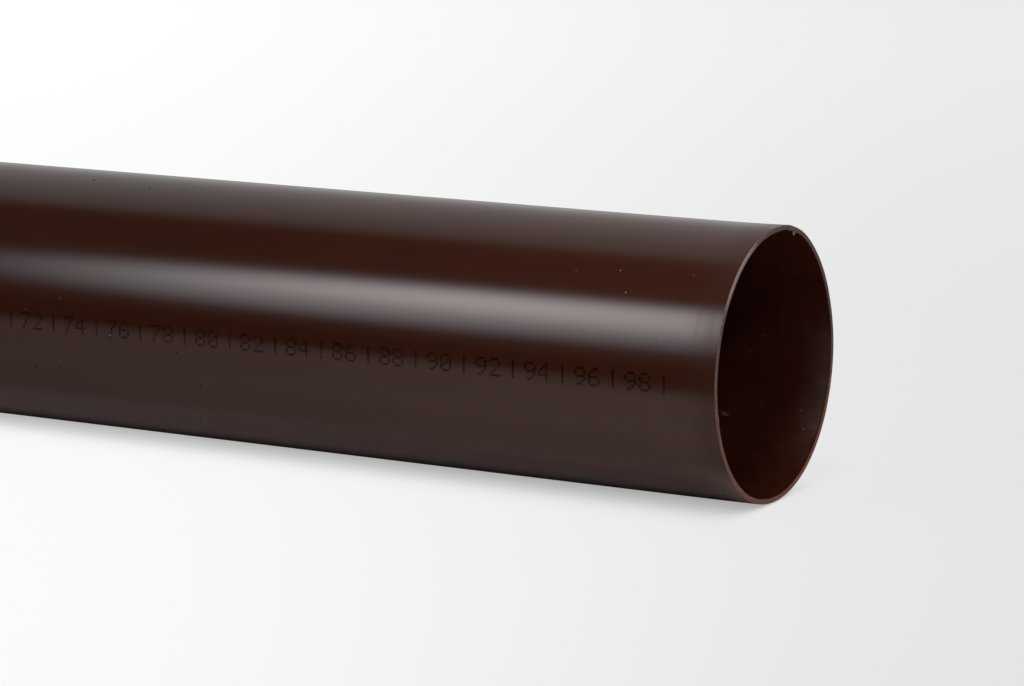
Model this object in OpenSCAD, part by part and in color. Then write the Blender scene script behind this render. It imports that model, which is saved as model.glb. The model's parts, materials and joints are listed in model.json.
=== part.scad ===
// Round rainwater downpipe, one straight length of extruded PVC-U, lying along X on the floor.
// Both ends are plain square saw cuts with their sharp edges broken.

/* [Pipe] */
// Outside diameter
outer_d = 100; // [50:1:160]
// Thickness of the wall
wall = 1.8; // [1.2:0.1:3.2]
// Length of the stock piece
pipe_length = 1000; // [250:50:4000]

/* [Cut ends] */
// Width of the broken edge round the outside of each end
outer_break = 0.3; // [0.1:0.05:0.5]
// Width of the broken edge round the bore at each end
bore_break = 0.2; // [0.1:0.05:0.5]

/* [Hidden] */
pipe_colour = [0.27, 0.15, 0.11];
outer_r = outer_d / 2;
bore_r = outer_r - wall;
end_z = pipe_length / 2;
arc_steps = 180;

// Right half of the pipe's section, with the axis at x = 0 and the length along y
module wall_section() {
    polygon([
        [bore_r, bore_break - end_z],
        [bore_r + bore_break, -end_z],
        [outer_r - outer_break, -end_z],
        [outer_r, outer_break - end_z],
        [outer_r, end_z - outer_break],
        [outer_r - outer_break, end_z],
        [bore_r + bore_break, end_z],
        [bore_r, end_z - bore_break],
    ]);
}

// The pipe lies on its side, so its axis is one outer radius above the floor
module downpipe() {
    color(pipe_colour)
        translate([0, 0, outer_r])
            rotate([0, 90, 0])
                rotate_extrude($fn = arc_steps)
                    wall_section();
}

downpipe();
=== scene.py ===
# %% [markdown]
# # A length of brown rainwater downpipe
#
# A downpipe carries rain from the gutter to the ground. It is extruded: soft brown PVC-U is pushed
# through a ring-shaped die, cooled in water, marked by an ink jet and sawn to length while it still
# moves. So it has one wall of one thickness, a glossy skin with faint lines along it, and two plain
# square ends that the saw left rougher than the rest.
#
# The packed CAD model is the fixed frame. It gives every size, and this lesson dresses it.

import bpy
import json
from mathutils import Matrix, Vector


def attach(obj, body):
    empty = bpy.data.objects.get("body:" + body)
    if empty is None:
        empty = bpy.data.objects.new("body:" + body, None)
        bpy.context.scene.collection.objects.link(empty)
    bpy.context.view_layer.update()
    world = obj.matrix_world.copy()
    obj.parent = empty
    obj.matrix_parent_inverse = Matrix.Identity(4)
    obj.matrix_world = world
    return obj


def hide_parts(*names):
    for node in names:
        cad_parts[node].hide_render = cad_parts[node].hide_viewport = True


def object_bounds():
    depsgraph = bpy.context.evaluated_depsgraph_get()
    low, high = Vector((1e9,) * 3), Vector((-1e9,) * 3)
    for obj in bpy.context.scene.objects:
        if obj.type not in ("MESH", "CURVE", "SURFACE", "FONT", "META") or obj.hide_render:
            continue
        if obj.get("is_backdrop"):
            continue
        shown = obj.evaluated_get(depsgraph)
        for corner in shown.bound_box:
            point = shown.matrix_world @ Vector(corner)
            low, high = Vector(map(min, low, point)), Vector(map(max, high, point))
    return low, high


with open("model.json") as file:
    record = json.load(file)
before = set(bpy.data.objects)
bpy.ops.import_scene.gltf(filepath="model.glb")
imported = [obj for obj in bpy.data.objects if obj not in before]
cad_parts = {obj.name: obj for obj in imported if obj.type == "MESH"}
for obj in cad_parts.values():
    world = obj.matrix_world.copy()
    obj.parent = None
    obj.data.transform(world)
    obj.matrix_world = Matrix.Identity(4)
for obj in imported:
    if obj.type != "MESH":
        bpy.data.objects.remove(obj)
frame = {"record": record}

# %% Sizes from the frame
import json
import math

import bpy
import numpy as np
from mathutils import Vector

MM = 0.001

cad_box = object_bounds()
mount_sizes = {mount["name"]: mount["dims"] for mount in frame["record"]["mounts"]}
outer_radius = mount_sizes["spigot_front"]["r_mm"] * MM
bore_radius = mount_sizes["bore"]["r_mm"] * MM
half_length = (cad_box[1].x - cad_box[0].x) / 2
outer_break = half_length - mount_sizes["spigot_front"]["length_mm"] / 2 * MM
bore_break = half_length - mount_sizes["bore"]["length_mm"] / 2 * MM
axis_height = outer_radius
print(f"pipe {2 * half_length:.3f} m long, {2 * outer_radius / MM:.1f} mm across,"
      f" wall {(outer_radius - bore_radius) / MM:.1f} mm")
print(f"edges broken by {outer_break / MM:.2f} mm outside and {bore_break / MM:.2f} mm inside")

# %% [markdown]
# ## The camera
#
# A long lens keeps the two sides of the pipe nearly parallel. The camera stands off the near end, a
# little above it, and looks back along the pipe. Blender's camera looks along its own -Z, so
# to_track_quat turns that axis onto the line of sight and keeps +Y up.

# %% Camera
LENS_MM = 130.57
CAMERA_PAST_THE_END = 0.5485
CAMERA_IN_FRONT = 1.1805
CAMERA_ABOVE_THE_AXIS = 0.2508
CAMERA_TURN = math.radians(29.08)
CAMERA_TILT = math.radians(-10.58)
CAMERA_REACH = 200


def make_camera():
    """The camera off the near end, turned towards the far end and tilted down."""
    data = bpy.data.cameras.new("camera")
    data.lens = LENS_MM
    data.clip_end = CAMERA_REACH
    camera = bpy.data.objects.new("camera", data)
    bpy.context.scene.collection.objects.link(camera)
    camera.location = (
        half_length + CAMERA_PAST_THE_END,
        -CAMERA_IN_FRONT,
        axis_height + CAMERA_ABOVE_THE_AXIS,
    )
    sight = Vector((
        -math.sin(CAMERA_TURN) * math.cos(CAMERA_TILT),
        math.cos(CAMERA_TURN) * math.cos(CAMERA_TILT),
        math.sin(CAMERA_TILT),
    ))
    camera.rotation_mode = "QUATERNION"
    camera.rotation_quaternion = sight.to_track_quat("-Z", "Y")
    return camera


camera = make_camera()
bpy.context.scene.camera = camera
print("camera at", [round(part, 3) for part in camera.location])

# %% [markdown]
# ## The wall as rings
#
# A pipe could be a cylinder with a Solidify modifier. Then every ring would be a perfect circle, and
# the saw's work could only be painted on. Here the wall is one closed skin of rings instead: along
# the outside, over one cut, back through the bore and over the other cut. Rings crowd towards the
# cuts, where the shape changes, and are few in the middle, where it doesn't.

# %% Where the rings stand
STEPS_ROUND = 720
STEPS_FROM_A_CUT = (1.0, 1.4, 2.0, 2.8, 4, 6, 8.5, 12, 17, 25, 40, 65)
MIDDLE_RINGS = 14

angles = np.linspace(-0.5 * math.pi, 1.5 * math.pi, STEPS_ROUND, endpoint=False)


def stations():
    """Where the rings stand along a wall, from the far cut to the near one."""
    near = [half_length - step * MM for step in reversed(STEPS_FROM_A_CUT)]
    middle = np.linspace(-near[0], near[0], MIDDLE_RINGS + 2)[1:-1]
    return [*[-place for place in reversed(near)], *middle, *near]


print(len(stations()), "rings along each wall,", STEPS_ROUND, "points in each")

# %% [markdown]
# ## What the die and the saw leave behind
#
# No extruded pipe is a perfect cylinder. The skin swells and sinks by two hundredths of a
# millimetre round the pipe, which bends the reflections a little. The stress that it was cooled
# with lets go at a cut, so over the last centimetre or two the wall springs out of round by half a
# millimetre or so. The saw ran slightly out of square too. A few cosine waves with random phases
# give a smooth unevenness that closes on itself round the pipe, which plain noise wouldn't. What has
# a place of its own, such as a bulge of a sprung end, is a list of bumps.

# %% Unevenness round the pipe
BOX_CLEARANCE = 0.002 * MM
INK_HEIGHT = 0.01 * MM
SWELL = 0.02 * MM
SPRING_REACH = 13 * MM
NEAR_SPRING = (
    # clock angle, width in mm, how far it has sprung out in mm
    (100, 10, 0.34),
    (115, 22, 0.58),
    (161, 32, -0.48),
    (218, 26, 0.34),
    (238, 18, 0.20),
    (274, 26, -0.30),
    (15, 30, -0.20),
)
FAR_SPRING = (
    (62, 34, 0.30),
    (118, 30, -0.25),
    (214, 24, 0.20),
    (250, 34, -0.30),
    (318, 30, 0.25),
)
OUT_OF_SQUARE = 0.45 * MM
OUT_OF_SQUARE_CLOCK = math.radians(110)
SAW_WANDER = 0.06 * MM
EDGE_CHATTER = 0.04 * MM
FACE_CHATTER = 0.03 * MM


def uneven(lobes, seed):
    """A smooth unevenness round the pipe, from 0 to 1, with bumps of these counts."""
    draw = np.random.default_rng(seed)
    waves = sum(
        draw.uniform(0.5, 1) * np.cos(count * angles + draw.uniform(0, 2 * math.pi))
        for count in lobes
    )
    return (waves - waves.min()) / np.ptp(waves)


def chatter(seed):
    """A fine roughness round the pipe, from 0 to 1, as a saw tooth leaves it."""
    steps = np.random.default_rng(seed).uniform(0, 1, STEPS_ROUND)
    return (steps + np.roll(steps, 1)) / 2


def bumps(rows, turns=angles):
    """How far a wall or an edge with these bumps stands out at these angles."""
    height = np.zeros(np.shape(turns))
    for clock, width, reach in rows:
        off = (turns - math.radians(clock) + math.pi) % (2 * math.pi) - math.pi
        share = off * bore_radius / (width * MM / 2)
        height += reach * MM * np.exp(-share ** 2)
    return height


def sprung(place, turns=angles):
    """How far the wall has sprung out at this place along the pipe, at these angles."""
    rows = NEAR_SPRING if place > 0 else FAR_SPRING
    from_a_cut = half_length - abs(place)
    return bumps(rows, turns) * math.exp(-from_a_cut / SPRING_REACH)


ink_radius = cad_box[1].y - BOX_CLEARANCE
skin_radius = ink_radius - INK_HEIGHT - SWELL * uneven((3, 5, 8, 13, 21), seed=4)
print(f"the skin swells by {np.ptp(skin_radius) / MM:.3f} mm, and the near end springs by"
      f" {np.ptp(sprung(half_length)) / MM:.2f} mm")

# %% [markdown]
# The saw also turns a low burr into the bore and pulls out teeth of plastic along its edge. They are
# bumps on that edge. Each has a clock angle, counted up from the side towards -Y, a width along the
# edge and a reach into the bore. The outer edge of the near cut has one dent, made alike.

# %% Burr and teeth on the edge of the bore
BURR = 0.22 * MM
NEAR_TEETH = (
    # clock angle, width in mm, reach in mm
    (107.2, 2.3, 1.45),
    (102.0, 2.6, 0.40),
    (-13.0, 2.2, 0.45),
    (-55.5, 0.8, 0.30),
    (148.0, 2.2, 0.22),
)
NEAR_DENT = ((83.0, 1.6, -0.22),)
FAR_TEETH = (
    (38.0, 1.8, 0.40),
    (121.0, 0.9, 0.90),
    (203.0, 2.4, 0.30),
    (301.0, 1.2, 0.55),
)

for name, teeth in (("near", NEAR_TEETH), ("far", FAR_TEETH)):
    print(f"{name} edge reaches up to {bumps(teeth).max() / MM:.2f} mm into the bore")

# %% [markdown]
# ## From rings to one closed mesh
#
# Each ring is a radius and a place along the pipe for every angle, and it says which part of the
# wall follows it. The rings run once round the wall's section and the last joins the first, so the
# mesh has no open edge.

# %% Rings of the wall
SKIN, CUT, BORE = range(3)


def ring(radius, place, part):
    """One ring: its points, and which part of the wall the band after it belongs to."""
    radius = np.broadcast_to(radius, STEPS_ROUND)
    points = np.column_stack((
        np.broadcast_to(place, STEPS_ROUND),
        -radius * np.cos(angles),
        axis_height + radius * np.sin(angles),
    ))
    return points, part


def cut_rings(side, teeth, dents, seed):
    """The rings over one saw cut, from the outside to the bore. side is 1 near, -1 far."""
    eighth = STEPS_ROUND // 8
    slant = OUT_OF_SQUARE * (0.5 + 0.5 * np.cos(angles - OUT_OF_SQUARE_CLOCK))
    face = half_length - slant - SAW_WANDER * uneven((2, 3, 5), seed)
    outer_edge = skin_radius + sprung(side * half_length) + bumps(dents)
    worn_edge = outer_edge - outer_break - EDGE_CHATTER * chatter(seed + 1)
    bore_edge = bore_radius + sprung(side * half_length) + EDGE_CHATTER * chatter(seed + 2)
    reach = BURR * uneven((2, 3, 5, 7), seed + 4) + bumps(teeth)
    rough = FACE_CHATTER * chatter(seed + 3)
    rows = (
        # how far the ring is from the axis, and how far along the pipe
        (outer_edge, face - outer_break),
        (0.6 * outer_edge + 0.4 * worn_edge, face - 0.5 * outer_break),
        (worn_edge, face),
        (0.7 * outer_edge + 0.3 * bore_edge, face - rough),
        (0.3 * outer_edge + 0.7 * bore_edge, face - np.roll(rough, eighth)),
        (bore_edge + bore_break - 0.55 * reach, face - np.roll(rough, 2 * eighth)),
        (bore_edge - reach, face - bore_break),
        (bore_edge - 0.35 * reach, face - 2 * bore_break),
    )
    return [ring(radius, side * place, CUT) for radius, place in rows]


def wall_rings():
    """Every ring of the wall, once round its section."""
    skin = [ring(skin_radius + sprung(place), place, SKIN) for place in stations()]
    bore = [ring(bore_radius + sprung(place), place, BORE) for place in stations()[1:-1][::-1]]
    near = cut_rings(1, NEAR_TEETH, NEAR_DENT, seed=11)
    far = cut_rings(-1, FAR_TEETH, (), seed=31)[::-1]
    near[-1] = (near[-1][0], BORE)
    far[-1] = (far[-1][0], SKIN)
    return skin + near + bore + far


rings = wall_rings()
print(len(rings), "rings make the closed wall")

# %% [markdown]
# The mesh also gets a flat layout, so that its finish can be baked into pictures for other
# programs. The skin and the bore unroll into two wide sheets, and each cut into a narrow strip.

# %% The pipe's mesh
SKIN_SHEET = (0.005, 0.470)
BORE_SHEET = (0.480, 0.470)
NEAR_CUT_STRIP = (0.955, 0.018)
FAR_CUT_STRIP = (0.978, 0.018)
CRISP_FROM = math.radians(30)
BANDS_IN_A_CUT = sum(part == CUT for _, part in rings) // 2


def sheet_corners(first, second, part, turn):
    """Where a band of the skin or the bore lies in the layout: its length runs along u."""
    start, size = SKIN_SHEET if part == SKIN else BORE_SHEET
    ends = [(points[:, 0].mean() / half_length + 1) / 2 for points in (first, second)]
    across = np.array([ends[pick] for pick in (0, 1, 1, 0)])
    return np.stack((np.broadcast_to(across, turn.shape), start + size * turn), axis=2)


def strip_corners(first, band, turn):
    """Where a band of a cut lies in the layout: its turn runs along u."""
    start, size = NEAR_CUT_STRIP if first[0, 0] > 0 else FAR_CUT_STRIP
    across = np.array([start + size * (band + step) / BANDS_IN_A_CUT for step in (0, 1, 1, 0)])
    return np.stack((turn, np.broadcast_to(across, turn.shape)), axis=2)


def make_pipe():
    """One closed mesh from the rings, smooth along the walls and crisp at the cuts."""
    here = np.arange(STEPS_ROUND)
    after = (here + 1) % STEPS_ROUND
    turn = np.stack((here, here, here + 1, here + 1), axis=1) / STEPS_ROUND
    faces, parts, layout = [], [], []
    for number, (points, part) in enumerate(rings):
        following = (number + 1) % len(rings)
        low, high = number * STEPS_ROUND, following * STEPS_ROUND
        faces.append(np.stack((low + here, high + here, high + after, low + after), axis=1))
        if part == CUT:
            band = parts.count(CUT) % BANDS_IN_A_CUT
            layout.append(strip_corners(points, band, turn))
        else:
            layout.append(sheet_corners(points, rings[following][0], part, turn))
        parts.append(part)
    mesh = bpy.data.meshes.new("pipe_wall")
    mesh.from_pydata(np.concatenate([points for points, _ in rings]), [], np.concatenate(faces))
    mesh.polygons.foreach_set("material_index", np.repeat(parts, STEPS_ROUND))
    mesh.uv_layers.new(name="OFBake").data.foreach_set("uv", np.concatenate(layout).ravel())
    mesh.shade_smooth()
    mesh.set_sharp_from_angle(angle=CRISP_FROM)
    wall = bpy.data.objects.new("pipe_wall", mesh)
    bpy.context.scene.collection.objects.link(wall)
    return wall


pipe = make_pipe()
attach(pipe, "root")
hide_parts("downpipe")
print(len(pipe.data.vertices), "points,", len(pipe.data.polygons), "faces,",
      BANDS_IN_A_CUT, "bands over each cut")

# %% [markdown]
# ## Dots on the skin
#
# An ink jet throws drops at the pipe as it passes, and each dries as a round dot a hundredth of a
# millimetre thick. Specks in the skin are dots too. Drawing them in a shader would take many nodes,
# and lettering needs a picture. Small discs of mesh wrapped onto the skin are simpler and keep sharp
# edges at any zoom. Every disc is closed and roots a little way down in the wall. A disc in the bore
# faces inwards, so its corners run the other way round.

# %% Discs wrapped onto the skin
DISC_CORNERS = 10
DISC_ROOT = 0.06 * MM
ON_THE_SKIN = (ink_radius - DISC_ROOT, ink_radius)
IN_THE_BORE = (bore_radius + DISC_ROOT, bore_radius - INK_HEIGHT)


def wrapped_discs(name, dots, root_radius, top_radius):
    """One mesh of closed discs. Each dot is its place along, its clock angle and its width."""
    spokes = np.linspace(0, 2 * math.pi, DISC_CORNERS, endpoint=False)
    if top_radius < root_radius:
        spokes = spokes[::-1]
    points, faces = [], []
    for along, clock, width in dots:
        start = len(points)
        along_rim = along + width / 2 * np.cos(spokes)
        clock_rim = clock + width / 2 * np.sin(spokes) / top_radius
        for radius in (root_radius, top_radius):
            away = radius + sprung(along, clock)
            points += zip(
                along_rim,
                -away * np.cos(clock_rim),
                axis_height + away * np.sin(clock_rim),
            )
        low = [start + corner for corner in range(DISC_CORNERS)]
        high = [start + DISC_CORNERS + corner for corner in range(DISC_CORNERS)]
        faces += [low[::-1], high]
        for corner in range(DISC_CORNERS):
            beyond = (corner + 1) % DISC_CORNERS
            faces.append((low[corner], low[beyond], high[beyond], high[corner]))
    mesh = bpy.data.meshes.new(name)
    mesh.from_pydata(points, [], faces)
    discs = bpy.data.objects.new(name, mesh)
    bpy.context.scene.collection.objects.link(discs)
    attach(discs, "root")
    print(name, "has", len(dots), "dots")
    return discs


print(f"a disc has {DISC_CORNERS} corners and roots {DISC_ROOT / MM:.2f} mm deep")

# %% [markdown]
# ## The printed scale
#
# The ink jet's head has one column of seven nozzles, so figures are built from dots in a grid of
# five by seven. The pipe carries a plain scale: the distance from the far end in centimetres, every
# two centimetres, with a tick at each mark. The dots stray a little, as flying drops do, and the
# whole line drifts round the pipe, because the pipe turned a little as it ran past the head.

# %% Figures of dots
FIGURES = {
    "0": (".###.", "#...#", "#..##", "#.#.#", "##..#", "#...#", ".###."),
    "1": ("..#..", ".##..", "..#..", "..#..", "..#..", "..#..", ".###."),
    "2": (".###.", "#...#", "....#", "...#.", "..#..", ".#...", "#####"),
    "3": (".###.", "#...#", "....#", "..##.", "....#", "#...#", ".###."),
    "4": ("...#.", "..##.", ".#.#.", "#..#.", "#####", "...#.", "...#."),
    "5": ("#####", "#....", "####.", "....#", "....#", "#...#", ".###."),
    "6": ("..##.", ".#...", "#....", "####.", "#...#", "#...#", ".###."),
    "7": ("#####", "....#", "...#.", "..#..", "..#..", ".#...", ".#..."),
    "8": (".###.", "#...#", "#...#", ".###.", "#...#", "#...#", ".###."),
    "9": (".###.", "#...#", "#...#", ".####", "....#", "...#.", ".##.."),
    "|": ("....#", "....#", "....#", "....#", "....#", "....#", "....#"),
}
CM = 0.01
MARK_EVERY_CM = 2
LAST_COLUMN = 4
COLUMN_PITCH = 0.94 * MM
NOZZLE_PITCH = 0.96 * MM
FIGURE_PITCH = 5.6 * MM
DOT_WIDTH = 1.01 * MM
DOT_STRAY = 0.02 * MM
DOT_WIDTHS = (0.90, 1.05)
SCALE_TOP = math.radians(3.5)
SCALE_DRIFT_A_METRE = math.radians(6)


def figure_dots(figure, start, draw):
    """The ink dots of one figure, whose cell starts at this place along the pipe."""
    dots = []
    for row, line in enumerate(FIGURES[figure]):
        for column, drop in enumerate(line):
            if drop == "#":
                along = start + FIGURE_PITCH - (LAST_COLUMN - column) * COLUMN_PITCH
                down = row * NOZZLE_PITCH + draw.normal(0, DOT_STRAY)
                along += draw.normal(0, DOT_STRAY)
                width = DOT_WIDTH * draw.uniform(*DOT_WIDTHS)
                top = SCALE_TOP - SCALE_DRIFT_A_METRE * (half_length - along)
                dots.append((along, top - down / ink_radius, width))
    return dots


def scale_dots():
    """Every ink dot of the scale, from the far end to the near one."""
    draw = np.random.default_rng(7)
    dots = []
    for mark in range(MARK_EVERY_CM, round(2 * half_length / CM), MARK_EVERY_CM):
        text = f"{mark}|"
        for place, figure in enumerate(text):
            start = mark * CM - half_length - (len(text) - place) * FIGURE_PITCH
            dots += figure_dots(figure, start, draw)
    return dots


ink_scale = wrapped_discs("ink_scale", scale_dots(), *ON_THE_SKIN)

# %% [markdown]
# ## Specks
#
# The melt carries a few burnt crumbs from the die, which show as dark specks in the skin, and the
# pipe has picked up a little pale dust, some of it in the bore. Those on the side that is looked at
# most are listed one by one. A seeded draw scatters the rest over the whole pipe.

# %% Burnt specks and dust
BURNT_SPECKS = (
    # mm from the near cut, clock angle, width in mm
    (287, 76.2, 1.43), (259, 72.7, 1.17), (184, 54.8, 1.17), (277, 9.8, 1.17),
    (292, -23.4, 1.43), (280.5, -22.0, 1.17), (283, -26.0, 0.91), (216, -24.1, 1.04),
    (223, -44.8, 1.04), (62, 44.0, 0.91), (224, -8.7, 1.04), (293, 3.5, 1.17), (294, 12.5, 0.91),
    (32.2, 12.7, 0.78),
)
DUST = ((254, -4.2, 0.5), (45, 46.0, 0.45), (40, 36.0, 0.5), (16.5, 46.8, 0.35))
BORE_DUST = (
    (28.4, 179.1, 0.5), (33.2, -173.0, 0.45), (25.7, -149.9, 0.35), (9.6, -149.3, 0.4),
    (6.6, -140.8, 0.4), (14.1, 159.0, 0.3), (18.7, -109.8, 0.35),
    (40.9, -144.9, 0.5), (40.3, -144.3, 0.55), (39.7, -143.7, 0.55), (40.6, -143.5, 0.4),
    (39.3, -144.5, 0.45), (40.1, -145.2, 0.35), (38.8, -143.9, 0.4), (39.2, -143.1, 0.35),
    (38.2, -143.4, 0.3), (38.3, -144.5, 0.25), (37.6, -144.0, 0.25), (37.0, -143.3, 0.2),
)
PLACED_REACH = 340 * MM
CLEAR_OF_THE_CUTS = 20 * MM
SCATTERED_SPECKS = 110
SCATTERED_DUST = 60
SMALLEST_SPECK = 0.20 * MM
WIDEST_SPECK = 0.60 * MM
WIDEST_AMONG_PLACED = 0.30 * MM


def speck_dots(placed, scattered, seed):
    """Dots for the placed specks and a scatter of others, small where specks are placed."""
    draw = np.random.default_rng(seed)
    dots = [
        (half_length - along * MM, math.radians(clock), width * MM)
        for along, clock, width in placed
    ]
    farthest = half_length - CLEAR_OF_THE_CUTS
    for _ in range(scattered):
        along = draw.uniform(-farthest, farthest)
        clock = draw.uniform(-math.pi, math.pi)
        placed_here = along > half_length - PLACED_REACH and math.cos(clock) > 0
        widest = WIDEST_AMONG_PLACED if placed_here else WIDEST_SPECK
        dots.append((along, clock, draw.uniform(SMALLEST_SPECK, widest)))
    return dots


burnt_dots = speck_dots(BURNT_SPECKS, SCATTERED_SPECKS, seed=21)
burnt_specks = wrapped_discs("burnt_specks", burnt_dots, *ON_THE_SKIN)
dust_specks = wrapped_discs("dust_specks", speck_dots(DUST, SCATTERED_DUST, seed=22), *ON_THE_SKIN)
bore_dust = wrapped_discs("bore_dust", speck_dots(BORE_DUST, SCATTERED_DUST, seed=23), *IN_THE_BORE)

# %% [markdown]
# ## Arithmetic for shaders
#
# A shader's sums are Math nodes, which are hard to read as a picture. This class wraps one output
# and gives it Python's operators, so that a sum in the text adds its nodes. Any other node comes
# from its one method: first the node's settings, then the values or links of its sockets.

# %% Wire
class Wire:
    """One value in a node tree, for use in plain sums."""

    def __init__(self, tree, socket=None):
        self.tree = tree
        self.socket = socket

    def node(self, kind, settings=None, inputs=None, output=0):
        """Adds a node with these settings and inputs, and gives one of its outputs."""
        made = self.tree.nodes.new(kind)
        for name, value in (settings or {}).items():
            setattr(made, name, value)
        for name, value in (inputs or {}).items():
            if isinstance(value, Wire):
                self.tree.links.new(value.socket, made.inputs[name])
            else:
                made.inputs[name].default_value = value
        return Wire(self.tree, made.outputs[output] if made.outputs else None)

    def beside(self, output):
        """Another output of the same node."""
        return Wire(self.tree, self.socket.node.outputs[output])

    def math(self, operation, *values):
        """A Math node on these values."""
        return self.node("ShaderNodeMath", {"operation": operation}, dict(enumerate(values)))

    def vector(self, operation, *values, output="Vector"):
        """A Vector Math node on these values."""
        settings = {"operation": operation}
        return self.node("ShaderNodeVectorMath", settings, dict(enumerate(values)), output)

    def __add__(self, other):
        return self.math("ADD", self, other)

    __radd__ = __add__

    def __sub__(self, other):
        return self.math("SUBTRACT", self, other)

    def __rsub__(self, other):
        return self.math("SUBTRACT", other, self)

    def __mul__(self, other):
        return self.math("MULTIPLY", self, other)

    __rmul__ = __mul__

    def between(self, low, high):
        """0 where the value is at low, 1 where it is at high, and smooth between."""
        return self.node(
            "ShaderNodeMapRange",
            {"interpolation_type": "SMOOTHSTEP"},
            {"Value": self, "From Min": low, "From Max": high},
        )

    def mix(self, first, second):
        """A colour that goes from first to second as this value goes from 0 to 1."""
        return self.node(
            "ShaderNodeMix",
            {"data_type": "RGBA"},
            {"Factor": self, 6: first, 7: second},
            output=2,
        )


print("Wire has", len([name for name in vars(Wire) if not name.startswith("_")]), "plain methods")

# %% [markdown]
# ## One plastic, three surfaces
#
# All the surfaces of the pipe are the same plastic, so they share one Principled shader: no metal,
# and PVC's own index of refraction. What differs is how each surface was made. Object coordinates
# are metres along and across the pipe, so every pattern has its real size. Grain is noise that is
# stretched along the pipe, because whatever the die does to the melt is drawn out along it.

# %% A plastic surface
PVC_INDEX = 1.53
PVC_SHINE = 0.5


def new_material(name):
    """An empty material, and a Wire into its node tree."""
    material = bpy.data.materials.new(name)
    material.use_nodes = True
    material.node_tree.nodes.clear()
    return material, Wire(material.node_tree)


def grain(place, long, wide, detail=2.0):
    """Noise from about 0 to 1, in patches this long and wide in millimetres."""
    shrink = (1 / (long * MM), 1 / (wide * MM), 1 / (wide * MM))
    shrunk = place.vector("MULTIPLY", place, shrink)
    return place.node("ShaderNodeTexNoise", inputs={"Vector": shrunk, "Scale": 1.0, "Detail": detail})


def off_axis(place):
    """How far out from the pipe's axis a place lies, as a vector across the pipe."""
    offset = place.vector("SUBTRACT", place, (0, 0, axis_height))
    return offset.vector("MULTIPLY", offset, (0, 1, 1))


def plastic(base, roughness, height, depth, shine=PVC_SHINE):
    """A shader of PVC. height is a bump from 0 to 1, and depth its size in metres."""
    bump = base.node("ShaderNodeBump", inputs={"Distance": depth, "Height": height})
    return base.node("ShaderNodeBsdfPrincipled", inputs={
        "Base Color": base,
        "Roughness": roughness,
        "IOR": PVC_INDEX,
        "Specular IOR Level": shine,
        "Normal": bump,
    })


def ends_in(shader):
    """Ends a material in this shader."""
    shader.node("ShaderNodeOutputMaterial", inputs={"Surface": shader})


print("the plastics have an index of refraction of", PVC_INDEX)

# %% [markdown]
# ## The skin
#
# The skin slid over the polished die, so it is glossy, with faint lines along it. The pigment isn't
# quite even either. Close to each cut the clamp of the saw has rubbed it, and the edges of its jaws
# have left two faint lines that run round the pipe. The rubbed share of the skin is a dull shader
# mixed into the glossy one, because scratches take light from a highlight without widening it. Along
# the bottom near each cut more of it is rubbed, and its colour is painted paler there, as a painted
# reflection of the lit floor. Here and below, a pair such as PAINTED_REFLECTION_HEIGHT says where an
# effect starts and where it is full.

# %% Skin
DEEP_BROWN = (0.0230, 0.0058, 0.0025, 1)
WARM_BROWN = (0.0277, 0.0074, 0.0033, 1)
SKIN_GLOSS = 0.145
SKIN_RELIEF = 0.006 * MM
PAINTED_REFLECTION_BROWN = (0.085, 0.055, 0.048, 1)
SCUFFED_ROUGHNESS = 0.45
SCUFFED_SHINE = 0.15
RUBBED_NEAR_A_CUT = (16 * MM, 1 * MM)
RUBBED_SHARE = 0.36
JAW_LINES = (4.2 * MM, 9.6 * MM)
JAW_LINE_WIDTH = 0.8 * MM
JAW_LINE_STRENGTH = 0.35
PAINTED_REFLECTION_HEIGHT = (24 * MM, 4 * MM)


def make_skin():
    """The outside of the pipe: glossy brown, with die lines, a duller band at each cut and a painted
    reflection low down by each cut.
    """
    material, start = new_material("glossy_skin")
    place = start.node("ShaderNodeTexCoord", output="Object")
    along = place.node("ShaderNodeSeparateXYZ", inputs={"Vector": place})
    die_lines = grain(place, 900, 1.5, detail=3.0)
    streaks = grain(place, 260, 9)
    clouds = grain(place, 60, 22)
    from_a_cut = half_length - along.math("ABSOLUTE", along)
    rubbed = from_a_cut.between(*RUBBED_NEAR_A_CUT) * (0.7 + 0.6 * grain(place, 0.8, 9, detail=3.0))
    for line in JAW_LINES:
        off_line = from_a_cut.math("ABSOLUTE", from_a_cut - line)
        pressed = grain(place, 40, 12).between(0.40, 0.60)
        rubbed = rubbed + JAW_LINE_STRENGTH * off_line.between(JAW_LINE_WIDTH, 0) * pressed
    tone = 0.4 * streaks + 0.35 * clouds + 0.25 * die_lines
    base = tone.between(0.3, 0.7).mix(DEEP_BROWN, WARM_BROWN)
    height = 0.6 * die_lines + 0.9 * streaks
    glossy = plastic(base, SKIN_GLOSS + 0.03 * streaks, height, SKIN_RELIEF)
    # Painted reflection: low down near each cut the colour is painted paler, for the lit floor's
    # reflection.
    low_painted_reflection = along.beside("Z").between(*PAINTED_REFLECTION_HEIGHT)
    dull_base_with_painted_reflection = low_painted_reflection.mix(base, PAINTED_REFLECTION_BROWN)
    dull_with_painted_reflection = plastic(dull_base_with_painted_reflection, SCUFFED_ROUGHNESS, height, SKIN_RELIEF, SCUFFED_SHINE)
    share = RUBBED_SHARE * rubbed * (1 + low_painted_reflection)
    ends_in(start.node("ShaderNodeMixShader", inputs={0: share, 1: glossy, 2: dull_with_painted_reflection}))
    return material


pipe.data.materials.append(make_skin())
print("the skin's roughness starts at", SKIN_GLOSS)
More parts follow.
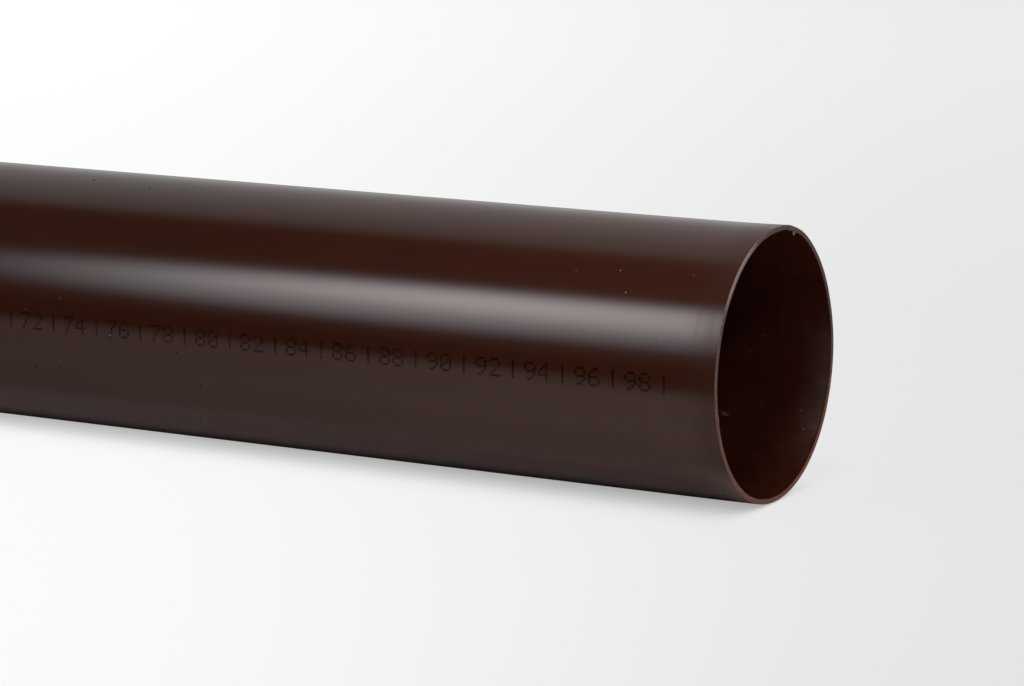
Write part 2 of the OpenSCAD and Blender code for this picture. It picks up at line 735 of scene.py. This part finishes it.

# %% [markdown]
# ## The saw cuts
#
# A saw tears PVC more than it slices it. The face is matt. Its upper front is painted paler, partly
# for whitening where the blade came in and partly as a painted sheen of the softbox, and the teeth it
# pulled out at the top show whitening. At the bottom it broke through last and left fresh, warm
# plastic.
# The noise of the face is as long as it is wide, because nothing drew it out. A few pale crumbs of
# saw dust still stick to it.

# %% Saw cuts
TORN_BROWN = (0.088, 0.048, 0.041, 1)
FRESH_BROWN = (0.140, 0.050, 0.028, 1)
WHITENED_AND_SHEEN_BROWN = (0.200, 0.146, 0.135, 1)
DRAWN_OUT_GREY = (0.220, 0.187, 0.160, 1)
CRUMB_GREY = (0.32, 0.27, 0.24, 1)
BLACK = (0, 0, 0, 1)
PALER_SIDE = (0, -0.63, 0.78)
FACING_THE_PALER_SIDE = (0.93, 0.995)
CRUMBS_FROM = (0.76, 0.82)
FRESH_HEIGHT = (75 * MM, 3 * MM)
DRAWN_OUT_HEIGHT = (80 * MM, 90 * MM)
DRAWN_OUT_REACH = 0.6 * MM
CUT_ROUGHNESS = 0.48
CUT_RELIEF = 0.10 * MM
CUT_SHINE = 0.3


def make_saw_cut():
    """The cut faces and their edges: matt, torn, a little paler from whitening, with a painted sheen
    at the upper front.
    """
    material, start = new_material("saw_cut")
    place = start.node("ShaderNodeTexCoord", output="Object")
    tears = grain(place, 0.5, 0.5, detail=4.0)
    crumbs = grain(place, 0.5, 0.5, detail=0.0).between(*CRUMBS_FROM)
    outward = off_axis(place)
    from_axis = outward.vector("LENGTH", outward, output="Value")
    clock = outward.vector("NORMALIZE", outward)
    facing = clock.vector("DOT_PRODUCT", clock, PALER_SIDE, output="Value")
    # Painted sheen: the upper front of the face is painted paler, partly whitening and partly the
    # softbox's sheen.
    whitening_and_sheen = facing.between(*FACING_THE_PALER_SIDE) * (0.2 + 1.6 * tears)
    height = place.node("ShaderNodeSeparateXYZ", inputs={"Vector": place}, output="Z")
    torn = height.between(*FRESH_HEIGHT).mix(TORN_BROWN, FRESH_BROWN)
    # Painted shade: the low parts of the torn relief are painted darker, towards black.
    shaded = (0.35 - 0.35 * tears).mix(whitening_and_sheen.mix(torn, WHITENED_AND_SHEEN_BROWN), BLACK)
    in_the_bore = from_axis.between(bore_radius, bore_radius - DRAWN_OUT_REACH)
    drawn_out = in_the_bore * height.between(*DRAWN_OUT_HEIGHT)
    base = crumbs.mix(drawn_out.mix(shaded, DRAWN_OUT_GREY), CRUMB_GREY)
    ends_in(plastic(base, CUT_ROUGHNESS + 0.25 * tears, tears, CUT_RELIEF, CUT_SHINE))
    return material


pipe.data.materials.append(make_saw_cut())
print("the cuts are", round(WHITENED_AND_SHEEN_BROWN[0] / TORN_BROWN[0], 1), "times paler where whitened")

# %% [markdown]
# ## The bore
#
# The inside cooled in air, not against a die, so it is duller than the skin and slightly rippled.
# Its brown is fresher too, because no sun and no hands reach it. A patchy grey is painted on the
# lower back of the bore near the mouth, as a painted reflection.

# %% Bore wall
BORE_BROWN = (0.024, 0.0045, 0.0020, 1)
RIPPLE_BROWN = (0.035, 0.0075, 0.0035, 1)
PAINTED_SHEEN_GREY = (0.043, 0.022, 0.018, 1)
BORE_ROUGHNESS = 0.28
BORE_RELIEF = 0.02 * MM
BORE_SHINE = 0.42
PAINTED_SHEEN_NEAR_THE_MOUTH = (15 * MM, 1 * MM)
LOWER_BACK = (0, 0.96, -0.28)
PAINTED_SHEEN_ACROSS = (41.5 * MM, 46.5 * MM)


def make_bore():
    """The inside of the pipe: the same brown, duller, with broad soft ripples."""
    material, start = new_material("bore_wall")
    place = start.node("ShaderNodeTexCoord", output="Object")
    ripples = grain(place, 70, 14)
    mottle = grain(place, 6, 4, detail=0.5)
    tone = 0.5 * ripples + 0.5 * mottle
    brown = tone.between(0.3, 0.7).mix(BORE_BROWN, RIPPLE_BROWN)
    along = place.node("ShaderNodeSeparateXYZ", inputs={"Vector": place})
    from_a_cut = half_length - along.math("ABSOLUTE", along)
    outward = off_axis(place)
    lower_back = outward.vector("DOT_PRODUCT", outward, LOWER_BACK, output="Value")
    # Painted reflection: a patchy grey is painted on the lower back of the bore near the mouth.
    bore_sheen_patch = from_a_cut.between(*PAINTED_SHEEN_NEAR_THE_MOUTH) * lower_back.between(*PAINTED_SHEEN_ACROSS)
    bore_sheen = bore_sheen_patch * (0.15 + mottle)
    base = bore_sheen.mix(brown, PAINTED_SHEEN_GREY)
    ends_in(plastic(base, BORE_ROUGHNESS + 0.2 * bore_sheen, ripples, BORE_RELIEF, BORE_SHINE))
    return material


pipe.data.materials.append(make_bore())
print([material.name for material in pipe.data.materials])

# %% [markdown]
# ## Ink, burnt specks and dust
#
# These are thin and small, but each has its own finish. The ink dried with little shine of its own,
# a burnt crumb is black and rough, and dust is pale and matt.

# %% Finishes of the dots
INK_BLACK = (0.0047, 0.0010, 0.0003, 1)
INK_BROWN = (0.0130, 0.0034, 0.0013, 1)
INK_SHINE = 0.21
BURNT_BLACK = (0.003, 0.002, 0.0015, 1)
BURNT_BROWN = (0.007, 0.004, 0.003, 1)
DUST_GREY = (0.14, 0.11, 0.10, 1)
DUST_PALE = (0.30, 0.27, 0.25, 1)
DOT_RELIEF = 0.003 * MM


def make_dots(name, first, second, roughness, shine=PVC_SHINE):
    """A finish for dots, whose colour drifts from one dot to the next."""
    material, start = new_material(name)
    place = start.node("ShaderNodeTexCoord", output="Object")
    drift = grain(place, 3, 3)
    fine = grain(place, 0.2, 0.2)
    base = drift.between(0.35, 0.65).mix(first, second)
    ends_in(plastic(base, roughness + 0.1 * fine, fine, DOT_RELIEF, shine))
    return material


dry_ink = make_dots("dry_ink", INK_BLACK, INK_BROWN, roughness=0.12, shine=INK_SHINE)
burnt_crumb = make_dots("burnt_crumb", BURNT_BLACK, BURNT_BROWN, roughness=0.45)
pale_dust = make_dots("pale_dust", DUST_GREY, DUST_PALE, roughness=0.70)
ink_scale.data.materials.append(dry_ink)
burnt_specks.data.materials.append(burnt_crumb)
dust_specks.data.materials.append(pale_dust)
bore_dust.data.materials.append(pale_dust)
print("dots are finished in", ", ".join(made.name for made in (dry_ink, burnt_crumb, pale_dust)))

# %% [markdown]
# ## The studio
#
# Gloss shows the room, so the room has to be right. One round softbox hangs in front of the pipe
# and above it, turned to the near end, and gives the long highlight. A small lamp hangs close above
# the near end and warms the brown there, and a like one off the end looks into the bore. Pale paper
# hangs behind and overhead, and the pale floor ends a little way in front, so between them the gloss
# shows dark bands and the brown shows through. The lamps are set so that a colour renders about as
# it is written.

# %% Lamps
SOFTBOX_PLACE = (-0.04, -0.96, 0.58)
SOFTBOX_ACROSS = 1.14
SOFTBOX_POWER = 20.5
END_LAMP_PLACE = (0.53, -0.10, 0.50)
END_LAMP_ACROSS = 0.14
END_LAMP_POWER = 1.38
BORE_LAMP_PLACE = (0.90, -0.21, 0.52)
BORE_LAMP_ACROSS = 0.15
BORE_LAMP_POWER = 1.38


def make_lamp(name, place, across, power):
    """A round area lamp at a place, turned to face the pipe's near end."""
    data = bpy.data.lights.new(name, "AREA")
    data.shape = "DISK"
    data.size = across
    data.energy = power
    lamp = bpy.data.objects.new(name, data)
    bpy.context.scene.collection.objects.link(lamp)
    lamp.location = place
    lamp.rotation_mode = "QUATERNION"
    near_end = Vector((half_length, 0, axis_height))
    lamp.rotation_quaternion = (near_end - lamp.location).to_track_quat("-Z", "Y")
    lamp.visible_camera = False
    return lamp


end_lamp = make_lamp("end_lamp", END_LAMP_PLACE, END_LAMP_ACROSS, END_LAMP_POWER)
bore_lamp = make_lamp("bore_lamp", BORE_LAMP_PLACE, BORE_LAMP_ACROSS, BORE_LAMP_POWER)
softbox = make_lamp("softbox", SOFTBOX_PLACE, SOFTBOX_ACROSS, SOFTBOX_POWER)
for lamp in (end_lamp, bore_lamp, softbox):
    print(lamp.name, lamp.data.size, "m across,", lamp.data.energy, "W")

# %% [markdown]
# A lamp's face can have nodes, as a surface can. Cloth over a bulb is brightest and warmest where
# the bulb is. It fades from there to the rim, and it is a little dimmer below a fold in the cloth.
# Parametric runs from 0 to 1 over the face, across and up.

# %% Glow of the softbox
HOT_SPOT = (0.36, 0.64)
MIDDLE_OF_THE_FACE = (0.5, 0.5)
RIM = 0.5
RIM_FADE = 0.26
GLOW_REACH = 0.46
GLOW_EVERYWHERE = 0.03
FOLD = (0.42, 0.56)
FOLD_SHADE = 0.18
GLOW_STRENGTH = 1.06
WARM_GLOW = (1.00, 0.93, 0.93, 1)
COOL_GLOW = (0.80, 0.88, 1.00, 1)
COOL_TO_WARM = (0.1, 0.8)


def glow_from_a_spot(lamp):
    """Makes a lamp brightest and warmest at its hot spot, and dark at its rim."""
    lamp.data.use_nodes = True
    lamp.data.node_tree.nodes.clear()
    start = Wire(lamp.data.node_tree)
    spot = start.node("ShaderNodeNewGeometry", output="Parametric")

    def distance(place):
        """How far this spot of the face is from a place on it."""
        return spot.vector("DISTANCE", spot, (*place, 0), output="Value")

    glow = 1 - distance(HOT_SPOT) * (1 / GLOW_REACH)
    glow = glow.math("MAXIMUM", glow, 0) + GLOW_EVERYWHERE
    glow = glow * distance(MIDDLE_OF_THE_FACE).between(RIM, RIM - RIM_FADE)
    height = spot.node("ShaderNodeSeparateXYZ", inputs={"Vector": spot}, output="Y")
    strength = glow * (GLOW_STRENGTH - FOLD_SHADE * height.between(FOLD[1], FOLD[0]))
    colour = glow.between(*COOL_TO_WARM).mix(COOL_GLOW, WARM_GLOW)
    emission = start.node("ShaderNodeEmission", inputs={"Color": colour, "Strength": strength})
    start.node("ShaderNodeOutputLight", inputs={"Surface": emission})


glow_from_a_spot(softbox)
print("the softbox is brightest at", HOT_SPOT, "of its face")

# %% [markdown]
# The world stands in for the paper. What the camera sees directly, also through glass, is pale all
# round. What gloss sees is the paper where it hangs, a little brighter lower down, in soft steps.
# What lights the plastic is an even, softer fill. Light Path tells the three apart, and the world
# isn't sampled as a lamp, so that it can.

# %% World
PAPER_SEEN = 0.90
PAPER_IN_GLOSS = (
    # degrees round the pipe from the front, over the top, where a step starts and ends, its height
    (20, 45, 0.03),
    (91, 108, 0.38),
    (100, 130, 0.09),
    (145, 175, 0.08),
)
FILL = 0.38
WHITE = (1, 1, 1, 1)


def kinds_of_ray(start):
    """Two masks: rays from the eye, also through glass, and rays that a gloss reflects."""
    ray = start.node("ShaderNodeLightPath", output="Is Camera Ray")
    seen = ray.math("MAXIMUM", ray, ray.beside("Is Transmission Ray"))
    return seen, ray.beside("Is Glossy Ray") * (1 - seen)


def make_world():
    """Pale paper behind and overhead in the gloss, pale all round to the eye, and a soft fill."""
    world = bpy.data.worlds.new("studio")
    bpy.context.scene.world = world
    world.use_nodes = True
    world.node_tree.nodes.clear()
    world.cycles.sampling_method = "NONE"
    start = Wire(world.node_tree)
    seen, glossy = kinds_of_ray(start)
    way = start.node("ShaderNodeTexCoord", output="Generated")
    split = way.node("ShaderNodeSeparateXYZ", inputs={"Vector": way})
    turn = split.math("ARCTAN2", split.beside("Z"), 0 - split.beside("Y"))
    paper = sum(
        step * turn.between(math.radians(starts), math.radians(ends))
        for starts, ends, step in PAPER_IN_GLOSS
    )
    strength = PAPER_SEEN * seen + paper * glossy + FILL * (1 - seen) * (1 - glossy)
    background = start.node("ShaderNodeBackground", inputs={"Color": WHITE, "Strength": strength})
    start.node("ShaderNodeOutputWorld", inputs={"Surface": background})


make_world()
print("the fill is", FILL, "and the paper shows as", PAPER_SEEN)

# %% [markdown]
# The floor is one wide pale disc. To the eye it is mostly its own colour, darker towards the right
# and the front, with the pipe's shadow on the share of it that is lit. Ambient occlusion darkens it
# where the pipe nearly touches it. Far off it fades to the world's tone, so there is no horizon. In
# the gloss it is a warm, lit table that turns up into bright paper behind the pipe. Close to the pipe
# its albedo in the gloss has painted light where the end lamp's shadow falls, and painted shade where
# the pipe nearly touches it. In front of the pipe the table ends, a little further out where it is
# away from the near end.

# %% Floor
FLOOR_RADIUS = 45
FLOOR_CORNERS = 96
FLOOR_GAP = 0.1 * MM
FADES_OUT = (5.0, 2.0)
FLOOR_LIT_SHARE = 0.06
FLOOR_ALBEDO = 0.90
FLOOR_TONE = 0.745
BRIGHTER_LEFT = 0.21
# metres to the right of the camera for each metre ahead of it
RIGHT_TO_LEFT = (0.16, -0.16)
NEAREST_FLOOR = 0.9
BRIGHTER_BACK = 0.11
# metres towards the back
FRONT_TO_BACK = (-0.5, 1.5)
CONTACT_REACH = 17 * MM
CONTACT_SHADE = 0.51
# Painted light and shade: the third step lifts the table where the end lamp's shadow falls, and the
# last two darken it where the pipe nearly touches it.
TABLE_AND_PAINTED_LIGHT_IN_GLOSS = (
    # metres towards the back where a step of the table's albedo starts and ends, its height
    (-0.265, -0.130, 0.45),
    (-0.075, -0.058, -0.07),
    (-0.047, -0.033, 0.40),
    (-0.033, -0.022, -0.15),
    (-0.022, -0.012, -0.28),
)
WARM_TABLE = (1.00, 0.89, 0.86, 1)
# how much further out the table ends, where along the pipe, and from where on towards the front
TABLE_JUTS = 0.05
JUT_ALONG = (0.39, 0.32)
JUT_AT_THE_FRONT = (-0.10, -0.16)
PAPER_BEHIND = (0.05, 0.4)
PAPER_BEHIND_IN_GLOSS = 0.31
TO_THE_RIGHT = (math.cos(CAMERA_TURN), math.sin(CAMERA_TURN), 0)
STRAIGHT_AHEAD = (-math.sin(CAMERA_TURN), math.cos(CAMERA_TURN), 0)


def make_floor():
    """A wide flat disc just under the pipe."""
    mesh = bpy.data.meshes.new("floor")
    corners = np.linspace(0, 2 * math.pi, FLOOR_CORNERS, endpoint=False)
    rim = [(FLOOR_RADIUS * math.cos(turn), FLOOR_RADIUS * math.sin(turn), 0) for turn in corners]
    mesh.from_pydata(rim, [], [range(len(rim))])
    disc = bpy.data.objects.new("floor", mesh)
    bpy.context.scene.collection.objects.link(disc)
    disc.location.z = -FLOOR_GAP
    disc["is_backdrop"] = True
    return disc


def make_floor_finish():
    """Pale paper: mostly its own colour to the eye, and a lit table in the gloss, with painted light
    and shade near the pipe.
    """
    material, start = new_material("floor_paper")
    seen, glossy = kinds_of_ray(start)
    place = start.node("ShaderNodeNewGeometry", output="Position")
    along = place.node("ShaderNodeSeparateXYZ", inputs={"Vector": place})
    back = along.beside("Y")
    near = place.vector("LENGTH", place, output="Value").between(*FADES_OUT)
    open_sky = start.node(
        "ShaderNodeAmbientOcclusion", {"samples": 16}, {"Distance": CONTACT_REACH}, output="AO"
    )
    sight = place.vector("SUBTRACT", place, camera.location)
    right = sight.vector("DOT_PRODUCT", sight, TO_THE_RIGHT, output="Value")
    ahead = sight.vector("DOT_PRODUCT", sight, STRAIGHT_AHEAD, output="Value")
    slope = right.math("DIVIDE", right, ahead.math("MAXIMUM", ahead, NEAREST_FLOOR))
    tone = FLOOR_TONE + BRIGHTER_LEFT * slope.between(*RIGHT_TO_LEFT)
    tone = tone + BRIGHTER_BACK * back.between(*FRONT_TO_BACK)
    shut_in = 1 - open_sky
    tone = tone * (1 - CONTACT_SHADE * shut_in.math("POWER", shut_in, 3))
    own_tone = PAPER_SEEN + near * (tone - PAPER_SEEN)
    on_table = back + TABLE_JUTS * along.between(*JUT_ALONG) * back.between(*JUT_AT_THE_FRONT)
    table = sum(step * on_table.between(starts, ends) for starts, ends, step in TABLE_AND_PAINTED_LIGHT_IN_GLOSS)
    behind = glossy * back.between(*PAPER_BEHIND)
    lit_share = seen * FLOOR_LIT_SHARE * near + (1 - seen) * (1 - behind)
    lit_tone = FLOOR_ALBEDO * (1 - glossy) + table * glossy
    lit_colour = lit_tone.mix(BLACK, glossy.mix(WHITE, WARM_TABLE))
    lit = start.node("ShaderNodeBsdfDiffuse", inputs={"Color": lit_colour})
    own_strength = own_tone * seen + PAPER_BEHIND_IN_GLOSS * glossy
    own = start.node("ShaderNodeEmission", inputs={"Strength": own_strength})
    paper = start.node("ShaderNodeMixShader", inputs={0: lit_share, 1: own, 2: lit})
    clear = start.node("ShaderNodeBsdfTransparent")
    below = place.beside("Backfacing") * seen
    shader = start.node("ShaderNodeMixShader", inputs={0: below, 1: paper, 2: clear})
    start.node("ShaderNodeOutputMaterial", inputs={"Surface": shader})
    return material


floor = make_floor()
floor.data.materials.append(make_floor_finish())
print("floor", FLOOR_RADIUS, "m in radius")

# %% [markdown]
# ## Last lines
#
# Standard is the view transform that shows colours as they are written. The model's box is printed
# beside the CAD box.

# %% Finish
bpy.context.scene.view_settings.view_transform = "Standard"
boxes = {"cad": cad_box, "visual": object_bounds()}
for name, box in boxes.items():
    print(name, [round((high - low) / MM, 2) for low, high in zip(*box)], "mm")
